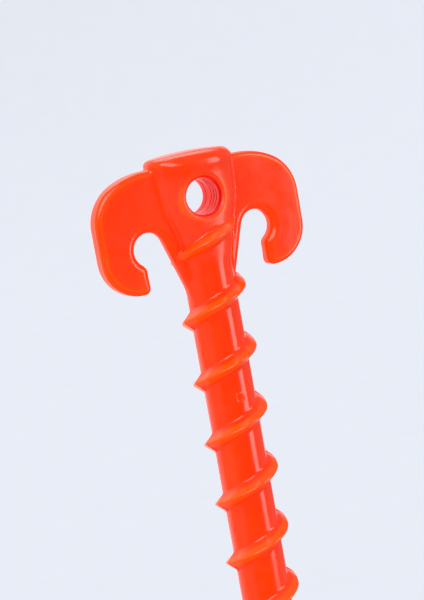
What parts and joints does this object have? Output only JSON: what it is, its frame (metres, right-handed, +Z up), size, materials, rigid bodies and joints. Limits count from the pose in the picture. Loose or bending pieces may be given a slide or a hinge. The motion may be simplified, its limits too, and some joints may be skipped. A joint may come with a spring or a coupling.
{
  "type": "tent stake",
  "caption": "Screw-in plastic tent stake: flat two-hook head, round eye, oval striking cap, and a round shank with a coarse right-hand screw flight.",
  "frame": {"origin": "the point of the stake, on the axis of the shank; the lowest point of the part", "axes": "+Z up the shank to the striking cap, +X from the left hook to the right hook, +Y along the eye from the front of the head to the back"},
  "size_m": [0.08, 0.025, 0.255],
  "materials": {
    "orange_plastic": "glossy injection-moulded plastic, fluorescent orange-red, slightly translucent; which plastic it is isn't known"
  },
  "bodies": {
    "root": {"striking_cap": "orange_plastic", "eye_neck": "orange_plastic", "left_hook": "orange_plastic", "right_hook": "orange_plastic", "left_web": "orange_plastic", "right_web": "orange_plastic", "shank": "orange_plastic", "screw_flight": "orange_plastic", "point": "orange_plastic"}
  },
  "joints": []
}
